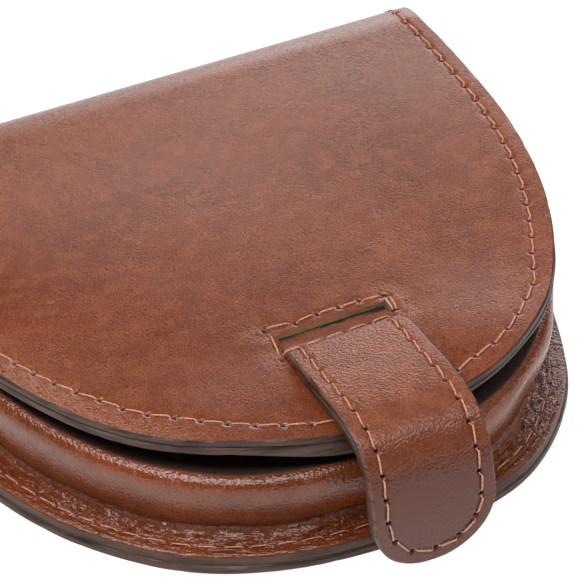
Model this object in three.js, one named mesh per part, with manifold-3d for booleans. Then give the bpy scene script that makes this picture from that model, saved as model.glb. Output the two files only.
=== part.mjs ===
// A horseshoe-shaped leather coin purse, lying on its base with the lid closed.
//
// Frame: millimetres, +Z up, -Y the front, where the tab comes down, +X to the right.
// The shapes are worked out in the fold frame, where y = 0 is the line at which the lid
// and the base turn into the rounded spine. The group is moved at the end, so that the
// origin lies at the middle of the bounding box, on the surface the purse rests on.

import * as THREE from 'three';
import { mergeVertices } from 'three/addons/utils/BufferGeometryUtils.js';
import Module from 'manifold-3d';

// ---- driving dimensions -------------------------------------------------------------

const leather = {
  cover: 1.1, // outer leather of lid, spine and base
  lining: 1.0, // second layer under the lid
  shell: 1.0, // wet-moulded leather of the pouch
  tab: 1.0, // each of the tab's two layers
  gap: 0.1, // free space between two layers that lie on each other
};

// Plan of the lid: nearly straight sides, then a superellipse round the front.
const lidPlan = {
  backHalfWidth: 37.5,
  halfWidth: 38.1,
  widestY: -15.8,
  frontY: -70.1,
  xPower: 2.5,
  yPower: 2.1,
  sideBulge: 2.3,
};

// The base and the sewn rim stand out past the lid.
const rimMargin = { side: 1.0, front: 1.0 };
const basePlan = {
  ...lidPlan,
  backHalfWidth: lidPlan.backHalfWidth + rimMargin.side,
  halfWidth: lidPlan.halfWidth + rimMargin.side,
  frontY: lidPlan.frontY - rimMargin.front,
};

const lid = {
  hingeHeight: 19.26, // top of the lid where the spine starts
  slope: 0.03, // the lid falls towards the front by this much per mm
};
const spineRadius = lid.hingeHeight / 2;
const liningBackY = -1.5;

const pouch = {
  mouthY: -4, // the open end, under the lid and next to the spine
  rimWidth: 2.3, // flat sewn rim outside the crease
  creaseInset: 3.3,
  creaseHeight: 1.1, // of the concave turn from rim to wall
  wallInset: 1.35, // the wall leans out over the crease to this line
  shoulderRadius: 2.5,
  shoulderDrop: 1.6, // from the shoulder's bright line to the widest line below it
  frontHeight: 11, // of the shoulder's bright line at the front
  heightGain: 5 / 54, // that line rises towards the hinge
  sideHeightLimit: 15.2,
  crownClearance: 0.4, // under the lining, where the crown reaches highest
  crownPower: 2.2,
};

const tab = {
  halfWidth: 7.5,
  tipLength: 8, // length over which the tip rounds off
  tipPower: 2.6,
  lidClearance: 0.15,
  skivedThickness: 0.35, // of the inner layer where it thins out over the lid
};

// Route of the tab's outer face, from inside the slit over the lid's front edge to the tip.
const tabRoute = [
  { x: 2.9, y: -50.4, z: 17.4 },
  { x: 2.9, y: -51.3, z: 18.1 },
  { x: 2.9, y: -52.6, z: 18.6 },
  { x: 2.9, y: -55.5, z: 18.85 },
  { x: 2.9, y: -61.3, z: 19.35 },
  { x: 2.95, y: -66.8, z: 19.7 },
  { x: 3.1, y: -71.2, z: 19.45 },
  { x: 3.25, y: -74.6, z: 18.2 },
  { x: 3.4, y: -76.4, z: 15.6 },
  { x: 3.4, y: -77.4, z: 12.3 },
  { x: 3.45, y: -77.6, z: 8.4 },
  { x: 3.5, y: -76.6, z: 0.7 },
];

const slit = { backY: -50.0, frontY: -53.4, sideClearance: 0.35 };

const stud = {
  height: 8.0, // of its axis above the table
  capRadius: 4.0,
  postRadius: 2.6,
  capThickness: 1.0,
  seatClearance: 0.2,
};

// How many facets each curve is made of.
const facets = {
  side: 3, // of the lid and the base, from the spine to the widest place
  front: 16, // from there to the middle of the front
  rimSide: 5,
  rimFront: 15,
  spine: 14,
  shoulder: 3,
  crown: 6,
  tab: 26,
  tabTip: 8,
  stud: 24,
};
const curveSamples = 400; // for equal distances along the tab's route
const weldDistance = 1e-4;

const finish = {
  cover: { color: 0x8f5a49, roughness: 0.42 },
  lining: { color: 0x6d5a52, roughness: 0.7 },
  shell: { color: 0x7a4028, roughness: 0.3 },
  tab: { color: 0x8a4f38, roughness: 0.4 },
  stud: { color: 0xb08d57, roughness: 0.35, metalness: 1 },
};

// ---- plan curves --------------------------------------------------------------------

const lerp = THREE.MathUtils.lerp;
const clamp = THREE.MathUtils.clamp;

function halfWidthOnSide(plan, y) {
  const t = y / plan.widestY;
  return lerp(plan.backHalfWidth, plan.halfWidth, 1 - (1 - t) ** plan.sideBulge);
}

// Right half of a plan, from backY round to the middle of the front.
function planHalf(plan, backY, sideSteps, frontSteps) {
  const points = [];
  for (let i = 0; i < sideSteps; i++) {
    const y = lerp(backY, plan.widestY, i / sideSteps);
    points.push(new THREE.Vector2(halfWidthOnSide(plan, y), y));
  }
  for (let i = 0; i <= frontSteps; i++) {
    const angle = (i / frontSteps) * (Math.PI / 2);
    const across = i === frontSteps ? 0 : Math.cos(angle) ** (2 / plan.xPower);
    const along = Math.sin(angle) ** (2 / plan.yPower);
    points.push(new THREE.Vector2(plan.halfWidth * across, lerp(plan.widestY, plan.frontY, along)));
  }
  return points;
}

function lidTop(y) {
  return lid.hingeHeight + lid.slope * y;
}

function liningUnderside(y) {
  return lidTop(y) - leather.cover - leather.gap - leather.lining;
}

// ---- solids from closed loops -------------------------------------------------------

// Joins a row of closed loops of equal length into one closed body. The first and last
// loop are capped; a loop that has shrunk to a line closes the body by itself.
function loft(loops) {
  const count = loops[0].length;
  const positions = loops.flat().flatMap((p) => [p.x, p.y, p.z]);
  const indices = [];
  for (let i = 0; i + 1 < loops.length; i++) {
    for (let j = 0; j < count; j++) {
      const a = i * count + j;
      const b = i * count + ((j + 1) % count);
      indices.push(a, b, b + count, a, b + count, a + count);
    }
  }
  indices.push(...capTriangles(loops[0], 0, true));
  indices.push(...capTriangles(loops.at(-1), (loops.length - 1) * count, false));
  const geometry = new THREE.BufferGeometry();
  geometry.setAttribute('position', new THREE.Float32BufferAttribute(positions, 3));
  geometry.setIndex(indices);
  return facingOut(withoutSlivers(mergeVertices(geometry, weldDistance)));
}

function capTriangles(loop, offset, reversed) {
  const normal = new THREE.Vector3();
  loop.forEach((p, i) => {
    const q = loop[(i + 1) % loop.length];
    normal.add(new THREE.Vector3().crossVectors(p, q));
  });
  if (normal.length() < weldDistance) return [];
  const toPlane = new THREE.Quaternion().setFromUnitVectors(normal.normalize(), new THREE.Vector3(0, 0, 1));
  const flat = loop.map((p) => {
    const q = p.clone().applyQuaternion(toPlane);
    return new THREE.Vector2(q.x, q.y);
  });
  const faces = THREE.ShapeUtils.triangulateShape(flat, []);
  return faces.flatMap(([a, b, c]) => (reversed ? [a, c, b] : [a, b, c]).map((k) => k + offset));
}

function withoutSlivers(geometry) {
  const index = geometry.getIndex().array;
  const kept = [];
  for (let i = 0; i < index.length; i += 3) {
    const [a, b, c] = [index[i], index[i + 1], index[i + 2]];
    if (a !== b && b !== c && c !== a) kept.push(a, b, c);
  }
  geometry.setIndex(kept);
  return geometry;
}

// Turns the faces round if the enclosed volume comes out negative.
function facingOut(geometry) {
  const position = geometry.getAttribute('position');
  const index = geometry.getIndex().array;
  const corner = (k) => new THREE.Vector3().fromBufferAttribute(position, index[k]);
  let volume = 0;
  for (let i = 0; i < index.length; i += 3) {
    volume += corner(i).dot(corner(i + 1).cross(corner(i + 2)));
  }
  if (volume < 0) geometry.setIndex(Array.from(index).reverse());
  return geometry;
}

// A flat strap-like section: width 2 * halfWidth along X, from the outer to the inner point.
function strapLoop(x, halfWidth, outer, inner) {
  return [
    new THREE.Vector3(x - halfWidth, outer.x, outer.y),
    new THREE.Vector3(x + halfWidth, outer.x, outer.y),
    new THREE.Vector3(x + halfWidth, inner.x, inner.y),
    new THREE.Vector3(x - halfWidth, inner.x, inner.y),
  ];
}

// ---- cutting ------------------------------------------------------------------------

const wasm = await Module();
wasm.setup();

function toManifold(geometry) {
  const bare = new THREE.BufferGeometry();
  bare.setAttribute('position', geometry.getAttribute('position').clone());
  bare.setIndex(geometry.getIndex().clone());
  const merged = mergeVertices(bare, weldDistance);
  return new wasm.Manifold(new wasm.Mesh({
    numProp: 3,
    vertProperties: new Float32Array(merged.getAttribute('position').array),
    triVerts: new Uint32Array(merged.getIndex().array),
  }));
}

function cut(geometry, tool) {
  const mesh = toManifold(geometry).subtract(toManifold(tool)).getMesh();
  const result = new THREE.BufferGeometry();
  result.setAttribute('position', new THREE.Float32BufferAttribute(mesh.vertProperties, 3));
  result.setIndex(Array.from(mesh.triVerts));
  return result;
}

// ---- the pieces ---------------------------------------------------------------------

// Rows of a layer of the lid, from the front back to backY, depth below the lid's top face.
function lidLoops(backY, depth, thickness) {
  return planHalf(lidPlan, backY, facets.side, facets.front).reverse().map((p) => strapLoop(
    0,
    p.x,
    new THREE.Vector2(p.y, lidTop(p.y) - depth),
    new THREE.Vector2(p.y, lidTop(p.y) - depth - thickness),
  ));
}

// One leather from the lid's front round the spine to the base's front.
function coverGeometry() {
  const loops = lidLoops(0, 0, leather.cover);
  for (let i = 1; i < facets.spine; i++) {
    const t = i / facets.spine;
    const angle = Math.PI * t;
    const at = (radius) => new THREE.Vector2(
      radius * Math.sin(angle),
      spineRadius + radius * Math.cos(angle),
    );
    const halfWidth = lerp(lidPlan.backHalfWidth, basePlan.backHalfWidth, t);
    loops.push(strapLoop(0, halfWidth, at(spineRadius), at(spineRadius - leather.cover)));
  }
  for (const p of planHalf(basePlan, 0, facets.side, facets.front)) {
    loops.push(strapLoop(0, p.x, new THREE.Vector2(p.y, 0), new THREE.Vector2(p.y, leather.cover)));
  }
  const cutter = new THREE.BoxGeometry(
    2 * (tab.halfWidth + slit.sideClearance),
    slit.backY - slit.frontY,
    4 * leather.cover,
  );
  cutter.deleteAttribute('normal');
  cutter.deleteAttribute('uv');
  const middleY = (slit.backY + slit.frontY) / 2;
  cutter.translate(tabRoute[0].x, middleY, lidTop(middleY));
  return cut(loft(loops), cutter);
}

function liningGeometry() {
  return loft(lidLoops(liningBackY, leather.cover + leather.gap, leather.lining));
}

// Section of the moulded shell at one place of the plan, as rows of inset from the rim's
// edge and height. The top face goes on from the last row to the middle of the mouth.
function shellRows(y) {
  const bottom = leather.cover + leather.gap;
  const rimTop = bottom + leather.shell;
  const line = Math.min(
    pouch.frontHeight + pouch.heightGain * (y - basePlan.frontY - pouch.rimWidth),
    pouch.sideHeightLimit,
  );
  const widest = line - pouch.shoulderDrop;
  const shoulder = (angle, radius) => ({
    inset: pouch.wallInset + pouch.shoulderRadius - radius * Math.cos(angle),
    height: widest + radius * Math.sin(angle),
  });
  const turns = [];
  for (let k = 0; k <= facets.shoulder; k++) turns.push((k / facets.shoulder) * (Math.PI / 2));
  const inner = pouch.shoulderRadius - leather.shell;
  const outerRows = [
    { inset: 0, height: bottom },
    { inset: 0, height: rimTop },
    { inset: pouch.rimWidth, height: rimTop },
    { inset: pouch.creaseInset, height: rimTop + pouch.creaseHeight },
    ...turns.map((angle) => shoulder(angle, pouch.shoulderRadius)),
  ];
  const innerRows = [
    { inset: pouch.creaseInset + leather.shell, height: bottom },
    { inset: pouch.creaseInset + leather.shell, height: rimTop + pouch.creaseHeight },
    ...turns.map((angle) => shoulder(angle, inner)),
  ];
  return { outerRows, innerRows };
}

// Points of the rim's plan with the direction that leads inwards at each.
function rimStations() {
  const right = planHalf(basePlan, pouch.mouthY, facets.rimSide, facets.rimFront);
  const left = right.slice(0, -1).reverse().map((p) => new THREE.Vector2(-p.x, p.y));
  const edge = [...right, ...left];
  return edge.map((p, i) => {
    if (i === 0 || i === edge.length - 1) {
      return { point: p, inward: new THREE.Vector2(-Math.sign(p.x), 0) };
    }
    const along = edge[i + 1].clone().sub(edge[i - 1]).normalize();
    return { point: p, inward: new THREE.Vector2(along.y, -along.x) };
  });
}

function shellGeometry() {
  const loops = rimStations().map(({ point, inward }) => {
    const { outerRows, innerRows } = shellRows(point.y);
    const place = ({ inset, height }) => new THREE.Vector3(
      point.x + inward.x * inset,
      point.y + inward.y * inset,
      height,
    );
    const crown = (row) => {
      const start = place(row);
      const points = [];
      for (let k = 1; k <= facets.crown; k++) {
        const f = k / facets.crown;
        const y = lerp(start.y, pouch.mouthY, f);
        const rise = 1 - (1 - f) ** pouch.crownPower;
        const ceiling = liningUnderside(y) - pouch.crownClearance;
        points.push(new THREE.Vector3(lerp(start.x, 0, f), y, lerp(start.z, ceiling, rise)));
      }
      return points;
    };
    const top = crown(outerRows.at(-1));
    const under = top.map((p) => new THREE.Vector3(p.x, p.y, p.z - leather.shell));
    return [...outerRows.map(place), ...top, ...under.reverse(), ...innerRows.map(place).reverse()];
  });
  return loft(loops);
}

// The tab's outer face as rows of centre, half-width and the direction into the leather.
function tabRows() {
  const curve = new THREE.CatmullRomCurve3(
    tabRoute.map((p) => new THREE.Vector3(p.x, p.y, p.z)),
    false,
    'centripetal',
  );
  curve.arcLengthDivisions = curveSamples;
  const length = curve.getLength();
  const tipStart = 1 - tab.tipLength / length;
  const places = [];
  for (let i = 0; i < facets.tab; i++) places.push((tipStart * i) / facets.tab);
  for (let i = 0; i <= facets.tabTip; i++) {
    places.push(lerp(tipStart, 1, Math.sin((i / facets.tabTip) * (Math.PI / 2))));
  }
  return places.map((u) => {
    const centre = curve.getPointAt(u);
    const along = curve.getTangentAt(u);
    const into = new THREE.Vector2(-along.z, along.y).normalize();
    const intoTip = clamp((u - tipStart) / (1 - tipStart), 0, 1);
    const halfWidth = tab.halfWidth * Math.max(0, 1 - intoTip ** tab.tipPower) ** (1 / tab.tipPower);
    return { centre, into, halfWidth };
  });
}

function tabLoop(row, from, to) {
  const surface = new THREE.Vector2(row.centre.y, row.centre.z);
  return strapLoop(
    row.centre.x,
    row.halfWidth,
    surface.clone().addScaledVector(row.into, from),
    surface.clone().addScaledVector(row.into, to),
  );
}

function tabOuterGeometry() {
  return loft(tabRows().map((row) => tabLoop(row, 0, leather.tab)));
}

// The inner layer starts behind the root's seam and is pared thin as far as the lid asks.
function tabLiningGeometry() {
  const from = leather.tab + leather.gap;
  const overLid = (row) => {
    const under = row.centre.z - lidTop(row.centre.y) - from - tab.lidClearance;
    return row.centre.y > lidPlan.frontY ? Math.min(leather.tab, under) : leather.tab;
  };
  const rows = tabRows().filter((row) => overLid(row) > tab.skivedThickness);
  return loft(rows.map((row) => tabLoop(row, from, from + overLid(row))));
}

// The hidden press stud: a cap on the shell's wall, a post, and a cap on the tab's inside.
function studGeometry() {
  const reach = stud.capRadius + stud.seatClearance;
  const beside = tabRows().filter((row) => Math.abs(row.centre.z - stud.height) < reach);
  const insideFace = (row) => row.centre.y + (2 * leather.tab + leather.gap) * row.into.x;
  const tabInside = Math.max(...beside.map(insideFace)) + stud.seatClearance;
  const wallFace = basePlan.frontY + pouch.wallInset - stud.seatClearance;
  const length = wallFace - tabInside;
  const profile = [
    [0, 0],
    [stud.capRadius, 0],
    [stud.capRadius, stud.capThickness],
    [stud.postRadius, 2 * stud.capThickness],
    [stud.postRadius, length - 2 * stud.capThickness],
    [stud.capRadius, length - stud.capThickness],
    [stud.capRadius, length],
    [0, length],
  ].map(([radius, y]) => new THREE.Vector2(radius, y));
  const geometry = new THREE.LatheGeometry(profile, facets.stud);
  geometry.translate(beside[0].centre.x, tabInside, stud.height);
  return closed(geometry);
}

function closed(geometry) {
  geometry.deleteAttribute('normal');
  geometry.deleteAttribute('uv');
  return facingOut(withoutSlivers(mergeVertices(geometry, weldDistance)));
}

// ---- the assembly -------------------------------------------------------------------

function piece(name, geometry, { color, roughness, metalness = 0 }) {
  geometry.computeVertexNormals();
  const mesh = new THREE.Mesh(geometry, new THREE.MeshStandardMaterial({ color, roughness, metalness }));
  mesh.name = name;
  return mesh;
}

const group = new THREE.Group();
group.add(piece('cover', coverGeometry(), finish.cover));
group.add(piece('lid_lining', liningGeometry(), finish.lining));
group.add(piece('pouch_shell', shellGeometry(), finish.shell));
group.add(piece('tab_outer', tabOuterGeometry(), finish.tab));
group.add(piece('tab_lining', tabLiningGeometry(), finish.lining));
group.add(piece('press_stud', studGeometry(), finish.stud));

const box = new THREE.Box3().setFromObject(group);
group.position.y = -(box.min.y + box.max.y) / 2;

export default group;
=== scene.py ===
import math
import bmesh
import bpy
import numpy as np
from mathutils import Matrix, Vector, noise


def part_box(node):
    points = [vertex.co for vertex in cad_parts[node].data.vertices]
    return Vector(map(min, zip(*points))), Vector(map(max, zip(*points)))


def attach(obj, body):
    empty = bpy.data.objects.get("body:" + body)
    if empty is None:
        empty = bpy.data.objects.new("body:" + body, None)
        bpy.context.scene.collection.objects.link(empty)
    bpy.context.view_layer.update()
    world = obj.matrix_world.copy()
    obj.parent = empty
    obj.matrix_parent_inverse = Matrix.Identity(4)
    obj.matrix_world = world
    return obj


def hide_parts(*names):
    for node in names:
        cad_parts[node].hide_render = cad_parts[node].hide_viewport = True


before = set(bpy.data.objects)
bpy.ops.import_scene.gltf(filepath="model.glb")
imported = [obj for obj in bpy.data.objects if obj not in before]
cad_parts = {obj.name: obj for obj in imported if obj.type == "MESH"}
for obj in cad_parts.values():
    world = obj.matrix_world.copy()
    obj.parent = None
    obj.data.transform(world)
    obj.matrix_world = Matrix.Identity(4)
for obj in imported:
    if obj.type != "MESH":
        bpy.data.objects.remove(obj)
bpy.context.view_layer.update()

mm = 0.001  # shapes are worked out in millimetres and made metres as they are laid
tiny = 1e-4  # points closer than this are one point


def boxInMm(node):
    low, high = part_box(node)
    return np.array(low) / mm, np.array(high) / mm


coverLow, coverHigh = boxInMm("cover")
liningLow, liningHigh = boxInMm("lid_lining")
shellLow = boxInMm("pouch_shell")[0]
studLow, studHigh = boxInMm("press_stud")

# The leathers are cut flat: x across, v along, h up from the grain side. foldY is where the
# lid and the base turn into the round spine; y = 0 there in all the plans below.
spineRadius = coverHigh[2] / 2
spineLength = math.pi * spineRadius
foldY = coverHigh[1] - spineRadius
# thickness of each leather, then the air between two that touch and between two that are glued
leather = {"cover": 1.1, "lining": 1.0, "shell": 1.0, "tab": 1.0, "gap": 0.1, "glued": 0.03}
pared = {"share": 0.85, "reach": -14}  # the lid's cover thins to this share from y = 0 to here

lidPlan = {"back": 37.5, "half": liningHigh[0], "widestY": -15.8, "frontY": liningLow[1] - foldY,
           "xPower": 2.5, "yPower": 2.1, "bulge": 2.3}
basePlan = dict(lidPlan, back=38.5, half=coverHigh[0], frontY=coverLow[1] - foldY)
lidSlope = 0.03  # the lid falls this much for each millimetre towards its front
faceSlot = {"grain": 0, "flesh": 1, "edge": 2, "raw": 3}  # the order of a leather's materials


def lerp(a, b, t):
    return a + (b - a) * t


def smooth(low, high, value):
    t = np.clip((value - low) / (high - low), 0, 1)
    return t * t * (3 - 2 * t)


def bumps(x, y, places, total=0):
    # soft bumps are added to a total; each place is x, y, reach, rise
    for middleX, middleY, reach, rise in places:
        total = total + rise * np.exp(-((x - middleX) ** 2 + (y - middleY) ** 2) / reach ** 2)
    return total


# Curves

class Path:
    # a fine row of points that can be asked for its point and heading at any distance
    def __init__(self, points):
        self.points = np.array(points, float)
        steps = np.linalg.norm(np.diff(self.points, axis=0), axis=1)
        self.distances = np.concatenate([[0], np.cumsum(steps)])
        self.length = self.distances[-1]

    def at(self, distance):
        return np.stack([np.interp(distance, self.distances, axis) for axis in self.points.T], axis=-1)

    def heading(self, distance, reach=0.4):
        step = self.at(np.asarray(distance) + reach) - self.at(np.asarray(distance) - reach)
        return step / np.linalg.norm(step, axis=-1, keepdims=True)

    def inset(self, amounts, count=900):
        # the path moved to the left of its heading, by amounts given at some distances
        where = np.linspace(0, self.length, count)
        ahead = self.heading(where)
        amount = np.interp(where, *zip(*amounts))[:, None]
        return Path(self.at(where) + amount * np.stack([-ahead[:, 1], ahead[:, 0]], axis=-1))


def planHalf(plan, backY, count=260):
    # right half of a horseshoe, from the middle of the front round to backY
    angle = np.linspace(math.pi / 2, 0, count)
    x = plan["half"] * np.maximum(np.cos(angle), 0) ** (2 / plan["xPower"])
    y = lerp(plan["widestY"], plan["frontY"], np.sin(angle) ** (2 / plan["yPower"]))
    x[0] = 0
    sideY = np.linspace(plan["widestY"], backY, 60)[1:]
    sideX = lerp(plan["back"], plan["half"], 1 - (1 - sideY / plan["widestY"]) ** plan["bulge"])
    return np.concatenate([np.stack([x, y], axis=1), np.stack([sideX, sideY], axis=1)])


# Laying a flat leather in its place

lidSwells = [  # where the lid isn't quite flat: x, y, reach, rise
    (-35, -36, 9, -0.5), (-14, -66, 10, 0.75), (18, -61, 9, 0.55), (0, -72, 5, -0.75), (0, -28, 20, 0.45),
    (-7, -71, 6.5, -0.45),
]


def lidSag(x, y):
    # a broad wave, a finer one and the swells, with nothing where the spine holds the lid
    waves = 0.22 * np.sin(x / 17 + 1.1) * np.sin(y / 21 + 0.4) + 0.12 * np.sin(x / 9.5 - 0.7 + y / 14)
    return smooth(0, -18, y) * bumps(x, y, lidSwells, waves)


def lidTop(x, y):
    return coverHigh[2] + lidSlope * y + lidSag(x, y)


baseStrays = [  # where the base isn't cut quite to the plan: x, y, reach, outward
    (-32, -51, 9, 0.25), (-22, -65, 6, 0.15), (-13, -70, 7, -0.15), (20, -66, 8, 0.4), (37, -42, 9, -0.75),
]
baseMiddleY = -30


def baseStray(x, y):
    # how far a place on the base's edge is moved, in x and y
    out = bumps(x, y, baseStrays)
    fromMiddle = y - baseMiddleY
    away = np.hypot(x, fromMiddle) + 1e-6
    return out * x / away, out * fromMiddle / away


def paring(v):
    return lerp(1, pared["share"], smooth(0, pared["reach"], v))


def layCover(x, v, h):
    h = h * paring(v)
    turn = np.clip(v / spineRadius, 0, math.pi)
    y = (spineRadius + h) * np.sin(turn)
    z = spineRadius + (spineRadius + h) * np.cos(turn)
    lidY, baseY = np.minimum(v, 0), -np.maximum(v - spineLength, 0)
    z = z + lidSlope * lidY + np.where(v < 0, lidSag(x, v), 0)
    strayX, strayY = baseStray(x, baseY)
    x, y = x + np.where(baseY < 0, strayX, 0), y + np.where(baseY < 0, strayY, 0)
    return np.stack([x, y + lidY + baseY + foldY, z], axis=-1)


liningBulk = {"left": 0.95, "right": 0.5, "change": (-5, 12), "pad": 1.25, "padX": -2, "padReach": 9,
              "padStart": (-52, -64)}


def liningBody(x, v):
    # thickness of the lining: thin on the right, doubled in front, where the tab pulls at it
    pad = liningBulk["pad"] * np.exp(-((x - liningBulk["padX"]) / liningBulk["padReach"]) ** 2)
    pad = pad * smooth(*liningBulk["padStart"], v)
    return lerp(liningBulk["left"], liningBulk["right"], smooth(*liningBulk["change"], x)) + pad


def layLining(x, v, h):
    v = np.minimum(v, -1e-3)
    depth = leather["cover"] * paring(v) + leather["glued"]
    return layCover(x, v, (h * liningBody(x, v) / leather["lining"] - depth) / paring(v))


tabRoute = [  # outer face of the tab: out of the slit, over the lid's edge and down
    (3.2, -49.9, 17.1), (3.2, -51.2, 17.3), (3.15, -52.6, 17.6), (3.1, -54.2, 18.15), (3.05, -56.2, 18.8),
    (3.0, -58.6, 19.15), (2.9, -61.3, 19.4), (2.95, -66.8, 19.75), (3.1, -71.2, 19.45), (3.25, -74.6, 18.2),
    (3.4, -76.4, 15.6), (3.4, -77.4, 12.3), (3.45, -77.6, 8.4), (3.5, -76.6, 0.7),
]


def throughPoints(points, perSpan=24):
    # centripetal Catmull-Rom curve
    points = [np.array(p, float) for p in points]
    points = [2 * points[0] - points[1]] + points + [2 * points[-1] - points[-2]]
    row = []
    for p0, p1, p2, p3 in zip(points, points[1:], points[2:], points[3:]):
        d0, d1, d2 = (math.sqrt(np.linalg.norm(b - a)) for a, b in ((p0, p1), (p1, p2), (p2, p3)))
        m1 = (p1 - p0) / d0 - (p2 - p0) / (d0 + d1) + (p2 - p1) / d1
        m2 = (p2 - p1) / d1 - (p3 - p1) / (d1 + d2) + (p3 - p2) / d2
        for k in range(perSpan):
            t = k / perSpan
            a, b = 2 * (p1 - p2) + (m1 + m2) * d1, -3 * (p1 - p2) - (2 * m1 + m2) * d1
            row.append(a * t ** 3 + b * t ** 2 + m1 * d1 * t + p1)
    return Path(row + [points[-2]])


tabPath = throughPoints(tabRoute)
tabFit = {"clearance": 0.12, "thinnest": 0.2}


def layTab(x, v, h):
    centre, ahead = tabPath.at(v), tabPath.heading(v)
    out = np.stack([ahead[..., 2], -ahead[..., 1]], axis=-1)  # in y and z, away from the purse
    out = out / np.linalg.norm(out, axis=-1, keepdims=True)
    return np.stack([centre[..., 0] + x, centre[..., 1] + foldY + out[..., 0] * h,
                     centre[..., 2] + out[..., 1] * h], axis=-1)


def tabRoom(x, v):
    # thickness left for the tab's inner layer between the outer one and the lid
    centre = tabPath.at(v)
    under = centre[..., 2] - lidTop(centre[..., 0] + x, centre[..., 1])
    under = under - leather["tab"] - leather["gap"] - tabFit["clearance"]
    overLid = centre[..., 1] > lidPlan["frontY"] - 0.5
    return np.where(overLid, np.clip(under, tabFit["thinnest"], leather["tab"]), leather["tab"])


def layTabLining(x, v, h):
    return layTab(x, v, h * tabRoom(x, v) / leather["tab"] - leather["tab"] - leather["glued"])


# Making sheets

def mirrorHalf(bm):
    bmesh.ops.mirror(bm, geom=bm.verts[:] + bm.edges[:] + bm.faces[:], axis="X", merge_dist=tiny)
    bmesh.ops.remove_doubles(bm, verts=bm.verts, dist=tiny)
    bmesh.ops.recalc_face_normals(bm, faces=bm.faces)


def flatSheet(outline, middle, rows, innerRows, step):
    # Half a leather, flat. Columns run from the outline to the middle line, and rows follow
    # the outline at the insets given before they spread out to the middle line.
    columns = round(outline.length / step)
    bands = len(rows) - 1
    bm = bmesh.new()
    bmesh.ops.create_grid(bm, x_segments=columns, y_segments=bands + innerRows, size=0.5)
    insetLayer = bm.verts.layers.float.new("inset")
    for vert in bm.verts:
        share = vert.co.x + 0.5
        row = (vert.co.y + 0.5) * (bands + innerRows)
        along = share * outline.length
        point, ahead = outline.at(along), outline.heading(along)
        inset = float(np.interp(row, range(bands + 1), rows))
        place = point + inset * np.array([-ahead[1], ahead[0]])
        inner = max(0.0, row - bands) / innerRows
        place = lerp(place, middle.at(share * middle.length), inner)
        atEnd = share < tiny or share > 1 - tiny
        onMiddle = inner > 0.999 or (atEnd and abs(point[0]) < 1e-6)
        vert.co = (0 if onMiddle else place[0], place[1], 0)
        vert[insetLayer] = inset if inner < 1e-6 else rows[-1] + 5 * inner
    bmesh.ops.remove_doubles(bm, verts=bm.verts, dist=tiny)
    mirrorHalf(bm)
    if sum(face.normal.z for face in bm.faces) < 0:
        bmesh.ops.reverse_faces(bm, faces=bm.faces)
    return bm


def refine(bm, chosen, cuts):
    edges = {edge for face in chosen for edge in face.edges}
    bmesh.ops.subdivide_edges(bm, edges=list(edges), cuts=cuts, use_grid_fill=True)
    large = [face for face in bm.faces if len(face.verts) > 4]
    bmesh.ops.triangulate(bm, faces=large)


def refineNear(bm, stitches, reach, cuts):
    # finer faces on the grain side along a row of stitches
    steps = np.linspace(0, 1, 9)[:, None]
    marks = np.concatenate([lerp(*stitch["holes"], steps) for stitch in stitches])
    chosen = []
    for face in bm.faces:
        centre = face.calc_center_median()
        if centre.z > -tiny and np.hypot(marks[:, 0] - centre.x, marks[:, 1] - centre.y).min() < reach:
            chosen.append(face)
    refine(bm, chosen, cuts)


def thicken(bm, thickness, rimCuts):
    # a sheet gets its flesh side and its cut edges; faces are told apart by their material
    bmesh.ops.solidify(bm, geom=bm.faces[:], thickness=thickness)
    bmesh.ops.recalc_face_normals(bm, faces=bm.faces)
    heights = [face.calc_center_median().z for face in bm.faces]
    top, bottom = max(heights), min(heights)
    for face, height in zip(bm.faces, heights):
        face.material_index = faceSlot["edge"]
        if height > top - tiny:
            face.material_index = faceSlot["grain"]
        elif height < bottom + tiny:
            face.material_index = faceSlot["flesh"]
    for vert in bm.verts:
        vert.co.z -= top
    upright = [edge for edge in bm.edges if abs(edge.verts[0].co.z - edge.verts[1].co.z) > thickness / 2]
    bmesh.ops.subdivide_edges(bm, edges=upright, cuts=rimCuts, use_grid_fill=True)


def coordinates(verts):
    return np.array([vert.co for vert in verts])


def rowNoise(points, scale, seed):
    shift = Vector((seed, 2.7 * seed, -1.3 * seed))
    return np.array([noise.noise(Vector(p * scale) + shift) for p in points])


def shapeEdges(bm, thickness, look):
    # cut edges are rounded over, with long uneven strata and small nicks
    bm.normal_update()
    rim = [vert for vert in bm.verts
           if any(face.material_index == faceSlot["edge"] for face in vert.link_faces)]
    outward = np.array([(vert.normal.x, vert.normal.y, 0) for vert in rim])
    length = np.linalg.norm(outward, axis=1, keepdims=True)
    outward = outward / np.maximum(length, 1e-6)
    co = coordinates(rim)
    level = np.clip(-co[:, 2] / thickness, 0, 1) * 2 - 1
    roundOff = look["round"] * (1 - np.sqrt(np.maximum(0, 1 - np.abs(level) ** look["square"])))
    strata = look["strata"] * rowNoise(co * [0.16, 0.16, 2.4], 1.0, look["seed"])
    nicks = look["nicks"] * np.maximum(0, rowNoise(co, 0.55, look["seed"] + 4) - 0.35)
    wander = look["wander"] * rowNoise(co * [1, 1, 0], 0.09, look["seed"] + 9)
    co = co + outward * (look["outset"] - roundOff - np.abs(strata) - nicks - wander)[:, None]
    for vert, place in zip(rim, co):
        vert.co = place


def stitchesAlong(path, pitch, start, backwards=False, throw=0.24):
    # Stitches from hole to hole. Each one leaves its first hole a little to the outside of
    # the line and comes back to it at the next.
    count = round((path.length - start) / pitch)
    where = np.linspace(start, path.length, count + 1)
    holes, ahead = path.at(where), path.heading(where)
    outward = throw * np.stack([ahead[:, 1], -ahead[:, 0]], axis=-1)
    found = []
    for k in range(count):
        first, last = (k + 1, k) if backwards else (k, k + 1)
        found.append({"holes": (holes[first], holes[last]), "out": outward[first]})
    return found


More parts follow.
